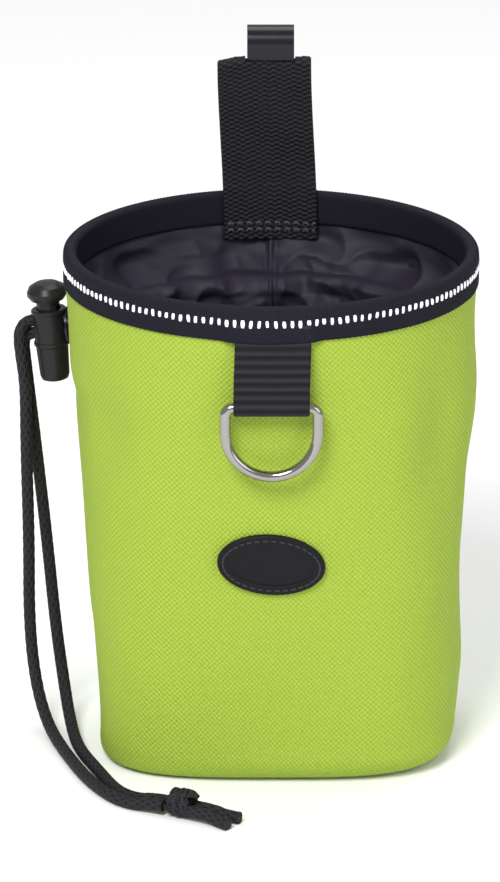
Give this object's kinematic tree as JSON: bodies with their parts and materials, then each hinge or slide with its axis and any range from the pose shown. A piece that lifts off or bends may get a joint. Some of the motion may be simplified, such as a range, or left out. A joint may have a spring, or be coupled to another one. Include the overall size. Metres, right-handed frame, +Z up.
{
  "type": "treat pouch",
  "caption": "Stiff-rimmed fabric treat pouch with a drawstring collar and cord lock, a belt clip on a folding webbing strap and a D-ring on a front tab.",
  "frame": {"origin": "middle of the base on the floor, under the middle of the mouth", "axes": "+Z up, -Y the front with the D-ring and badge, +Y the back with the belt clip, -X the side with the cord lock"},
  "size_m": [0.1224, 0.1316, 0.1805],
  "materials": {
    "green_fabric": "woven",
    "lining_fabric": "taffeta",
    "binding_tape": "ribbed",
    "reflective_yarn": "reflective",
    "webbing": "ribbed",
    "cord": "braided",
    "thread": "stitched",
    "nickel": "polished",
    "black_steel": "glossy black",
    "hoop_wire": "plain",
    "badge_rubber": "matte",
    "lock_plastic": "satin"
  },
  "bodies": {
    "pouch": {"outer_side_wall": "green_fabric", "base_panel": "green_fabric", "lining": "lining_fabric", "drawstring_collar": "lining_fabric", "rim_binding": "binding_tape", "reflective_stripe": "reflective_yarn", "rim_hoop": "hoop_wire", "ring_tab": "webbing", "badge": "badge_rubber", "badge_stitching": "thread", "strap_sewn_ends": "webbing", "strap_bartacks": "thread", "cord_eyelet": "black_steel", "cord_eyelet_washer": "black_steel", "cord_lock_barrel": "lock_plastic", "cord_lock_spring": "hoop_wire", "drawcord_loop": "cord", "drawcord_strand_outer": "cord", "drawcord_strand_inner": "cord", "drawcord_knot": "cord", "drawcord_tails": "cord"},
    "strap": {"strap_loop": "webbing", "belt_clip": "black_steel"},
    "clip_tongue": {"belt_clip_tongue": "black_steel"},
    "ring": {"d_ring": "nickel"},
    "lock_button": {"cord_lock_plunger": "lock_plastic"}
  },
  "joints": [
    {"name": "strap_fold", "type": "hinge", "parent": "pouch", "child": "strap", "pos_m": [0, 0.0514, 0.1402], "axis": [1, 0, 0], "range_deg": [-50, 90]},
    {"name": "clip_flex", "type": "hinge", "parent": "strap", "child": "clip_tongue", "pos_m": [0, 0.05925, 0.17612], "axis": [1, 0, 0], "range_deg": [0, 8], "stiffness_Nm_per_rad": 0.26},
    {"name": "ring_swing", "type": "hinge", "parent": "pouch", "child": "ring", "pos_m": [0, -0.05389, 0.1097], "axis": [-1, 0, 0], "range_deg": [0, 150]},
    {"name": "button_press", "type": "slide", "parent": "pouch", "child": "lock_button", "axis": [0.0858, -0.0151, -0.9962], "range_m": [0, 0.0024], "stiffness_N_per_m": 800, "springref_m": -0.001, "deforming": ["cord_lock_spring"]}
  ]
}
